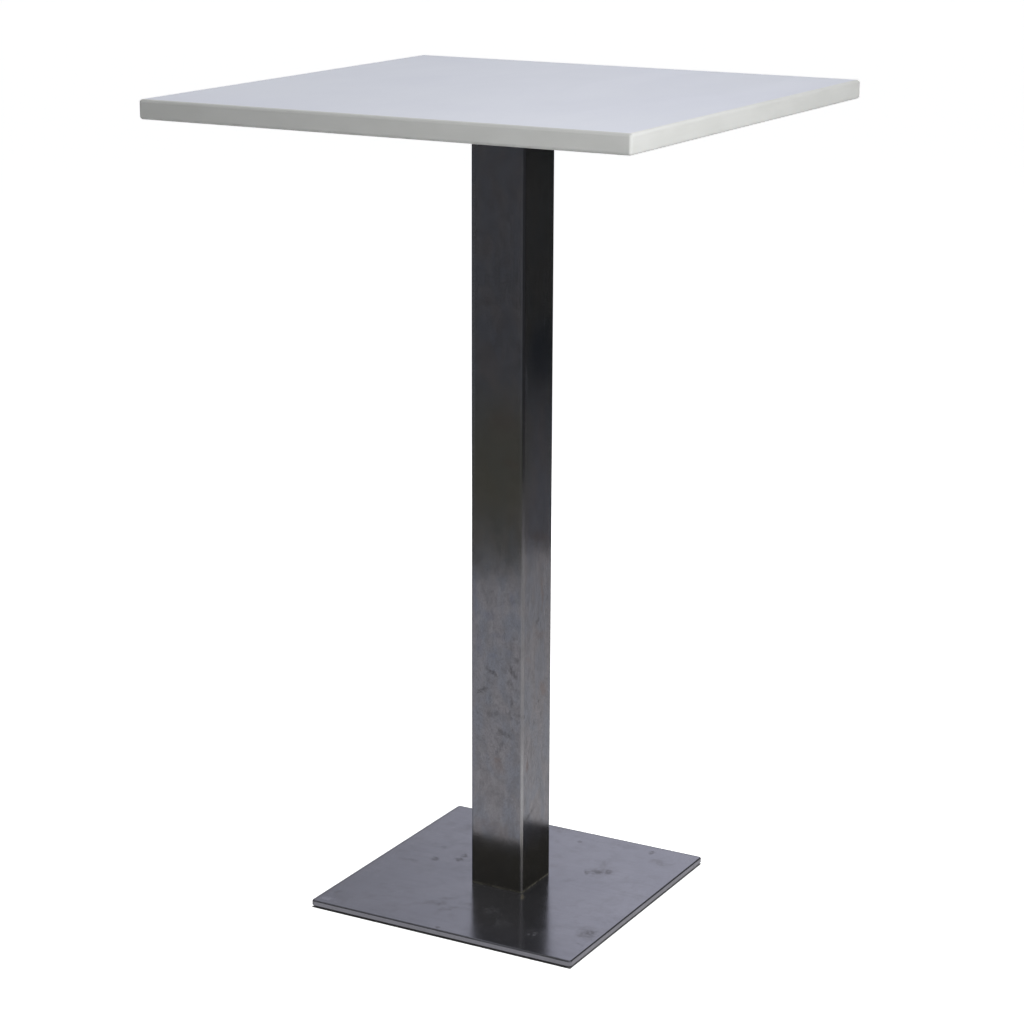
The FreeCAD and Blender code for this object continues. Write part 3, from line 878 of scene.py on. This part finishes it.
def place_camera():
    yaw, down, roll = (math.radians(turn) for turn in (CAMERA_YAW, CAMERA_DOWN, CAMERA_ROLL))
    ahead = Vector((-math.sin(yaw) * math.cos(down), math.cos(yaw) * math.cos(down), -math.sin(down)))
    right = Vector((math.cos(yaw), math.sin(yaw), 0))
    up = right.cross(ahead)
    turned_right = math.cos(roll) * right + math.sin(roll) * up
    turned_up = -math.sin(roll) * right + math.cos(roll) * up
    data = bpy.data.cameras.new("camera")
    data.sensor_width = 36
    data.lens = FOCAL_LENGTH / FRAME_WIDTH * data.sensor_width
    data.clip_end = 60
    camera = bpy.data.objects.new("camera", data)
    scene.collection.objects.link(camera)
    axes = Matrix((turned_right, turned_up, -ahead)).transposed()
    camera.matrix_world = Matrix.Translation(CAMERA_PLACE) @ axes.to_4x4()
    scene.camera = camera


# ---- Stage: world, floor, tent for the reflections, lamps ---------------------------

def seen_directly(tree):
    """1 for camera, glossy and transmission rays, so metal shows the same background."""
    path = tree.nodes.new("ShaderNodeLightPath")
    total = None
    for name in ("Is Camera Ray", "Is Glossy Ray", "Is Transmission Ray"):
        if total is None:
            total = path.outputs[name]
            continue
        node = tree.nodes.new("ShaderNodeMath")
        node.operation = "MAXIMUM"
        tree.links.new(total, node.inputs[0])
        tree.links.new(path.outputs[name], node.inputs[1])
        total = node.outputs[0]
    return total


def make_world(ambient):
    world = bpy.data.worlds.new("studio")
    scene.world = world
    world.use_nodes = True
    tree = world.node_tree
    tree.nodes.clear()
    out = tree.nodes.new("ShaderNodeOutputWorld")
    light = tree.nodes.new("ShaderNodeBackground")
    light.inputs["Color"].default_value = (0.93, 0.96, 1.0, 1)
    light.inputs["Strength"].default_value = ambient
    white = tree.nodes.new("ShaderNodeBackground")
    white.inputs["Color"].default_value = (1, 1, 1, 1)
    mix = tree.nodes.new("ShaderNodeMixShader")
    tree.links.new(seen_directly(tree), mix.inputs[0])
    tree.links.new(light.outputs[0], mix.inputs[1])
    tree.links.new(white.outputs[0], mix.inputs[2])
    tree.links.new(mix.outputs[0], out.inputs[0])


def make_floor(glow_share):
    """A large pale floor that reads white and keeps the table's soft shadow.

    In the narrow gap under the base it gives no glow and its colour is painted dark, a painted shadow. It
    is clear from beneath, and under the base to rays other than the camera's, so that views from below show
    the underside lit."""
    bm = bmesh.new()
    bmesh.ops.create_grid(bm, x_segments=1, y_segments=1, size=25)
    s = Shader("pale_floor", Roughness=0.9)
    reach = s.larger(s.math("ABSOLUTE", s.axis("X")), s.math("ABSOLUTE", s.axis("Y")))
    outside = s.band(reach, HALF_BASE - 0.0012, HALF_BASE + 0.0003)
    # Painted shadow: the floor's colour is dark under the base
    s.base(s.mix(outside, (0.20, 0.20, 0.20), (0.86, 0.86, 0.86)))
    glow = s.add("ShaderNodeEmission")
    glow.inputs["Color"].default_value = (1, 1, 1, 1)
    share = s.times(seen_directly(s.tree), glow_share)
    s.link(s.times(share, outside), glow.inputs["Strength"])
    both = s.add("ShaderNodeAddShader")
    s.link(s.bsdf.outputs[0], both.inputs[0])
    s.link(glow.outputs[0], both.inputs[1])
    path = s.add("ShaderNodeLightPath")
    side = s.add("ShaderNodeNewGeometry")
    beneath = s.times(path.outputs["Is Camera Ray"], side.outputs["Backfacing"])
    indirect = s.math("SUBTRACT", 1, path.outputs["Is Camera Ray"])
    beneath = s.larger(beneath, s.times(indirect, s.math("SUBTRACT", 1, outside)))
    s.clear_where(beneath, both.outputs[0])
    floor = new_object("floor", bm, s.material, None)


def tent_mesh():
    """A drum with a floor sheet and a closed roof, its wall a little nearer on the front left."""
    near, far = 1.585, 1.700
    widens_from, widens_over = -2.08, 1.57
    steps = 120
    bm = bmesh.new()
    rows = []
    for k in range(steps):
        turn = 2 * math.pi * k / steps - math.pi
        wide = near + (far - near) * min(max((turn - widens_from) / widens_over, 0), 1)
        profile = [
            (0.02, 0.0004), (wide, 0.0004), (wide, 0.002), (wide, 0.3), (wide, 0.8), (wide, 1.7),
            (1.0, 2.4), (0.02, 2.7),
        ]
        rows.append([bm.verts.new((r * math.cos(turn), r * math.sin(turn), z)) for r, z in profile])
    for a, b in zip(rows, rows[1:] + rows[:1]):
        for k in range(len(a) - 1):
            bm.faces.new((a[k], b[k], b[k + 1], a[k + 1]))
    return bm


def around(s, turn, low, high, to_low=0.0, to_high=1.0, smooth=True):
    """Like band, for a turn round the table with its limits in degrees."""
    return s.band(turn, math.radians(low), math.radians(high), to_low, to_high, smooth)


def tent_walls(s, side):
    """Dark walls, a pale backdrop at the rear, and dim panels on the front right and left."""
    height = s.axis("Z")
    turn = s.math("ARCTAN2", s.axis("Y"), s.axis("X"))
    left = s.mix(s.band(height, 0.16, 0.44), (0.162, 0.161, 0.136), (0.145, 0.148, 0.154))
    right = s.mix(s.band(height, 0.05, 0.45), (0.138, 0.138, 0.148), (0.014, 0.015, 0.016))
    fade = s.math("SUBTRACT", around(s, turn, 110, 131, 1.0, 0.48, smooth=False),
                  around(s, turn, 150, 175, 0.0, 0.2))
    backdrop = s.times(around(s, turn, 86, 92), fade, s.band(height, 1.9, 2.4, 1.0, 0.1))
    room = s.mix(backdrop, s.mix(side, left, right), (0.87, 0.88, 1.0))
    front = s.times(around(s, turn, -76, -64), around(s, turn, 2, 14, 1.0, 0.0))
    flank = around(s, s.math("ABSOLUTE", turn), 160, 170)
    panels = s.times(s.larger(front, flank), s.band(height, 0.2, 0.35))
    return s.mix(panels, room, (0.36, 0.36, 0.39))


def tent_floor(s, side, reach):
    """A pale floor sheet, dimmer further out on the right, with a soft shade round the base."""
    x, y = s.axis("X"), s.axis("Y")
    away = s.math("SQRT", s.math("ADD", s.times(x, x), s.times(y, y)))
    outwards = s.band(away, 0.3, 1.5, smooth=False)
    left = s.mix(outwards, (0.80, 0.80, 0.82), (0.68, 0.69, 0.72))
    right = s.mix(outwards, (0.82, 0.81, 0.82), (0.53, 0.52, 0.53))
    return s.mix(s.band(reach, HALF_BASE, HALF_BASE + 0.06, 0.10, 0.0), s.mix(side, left, right), (0, 0, 0))


def make_tent():
    """A studio tent seen by reflections alone, and clear in the gap under the base."""
    s = Shader("dark_tent")
    side = s.band(s.axis("X"), -0.4, 0.6)
    reach = s.larger(s.math("ABSOLUTE", s.axis("X")), s.math("ABSOLUTE", s.axis("Y")))
    wall = s.band(s.axis("Z"), 0.0010, 0.0015)
    glow = s.add("ShaderNodeEmission")
    s.link(s.mix(wall, tent_floor(s, side, reach), tent_walls(s, side)), glow.inputs["Color"])
    gap = s.times(s.math("SUBTRACT", 1, wall), s.band(reach, HALF_BASE, HALF_BASE + 0.0005, 1.0, 0.0))
    s.clear_where(gap, glow.outputs[0])
    tent = new_object("dark_tent", tent_mesh(), s.material, None)
    tent.visible_camera = False
    tent.visible_diffuse = False
    tent.visible_shadow = False
    tent.visible_transmission = False
    tent.visible_volume_scatter = False


def lamp(name, place, aim, width, height, power, colour=(1, 1, 1)):
    data = bpy.data.lights.new(name, "AREA")
    data.shape = "RECTANGLE"
    data.size, data.size_y = width, height
    data.energy = power
    data.color = colour
    light = bpy.data.objects.new(name, data)
    scene.collection.objects.link(light)
    light.location = place
    light.rotation_euler = (Vector(aim) - Vector(place)).to_track_quat("-Z", "Y").to_euler()
    light.visible_glossy = False
    light.visible_camera = False


place_camera()
make_world(0.12)
make_floor(0.84)
make_tent()
lamp("near", (1.15, -1.35, 1.35), (0.2, -0.3, 1.0), 0.7, 0.7, 5.6)
lamp("side", (2.6, -0.4, 1.4), (0, 0, 0.9), 1.2, 1.2, 38.4)
lamp("overhead", (-0.4, 0.6, 3.4), (0, 0, 0.8), 2.2, 2.2, 37)
lamp("left", (-0.8, -0.2, 2.3), (-0.2, -0.1, 1.1), 0.6, 0.6, 2.2)
lamp("key", (0.9, -1.1, 2.4), (0.1, -0.1, 1.0), 0.7, 0.7, 13)
lamp("rear", (-1.7, 1.9, 0.75), (0, 0, 1.0), 1.2, 0.55, 12)

scene.view_settings.view_transform = "Standard"
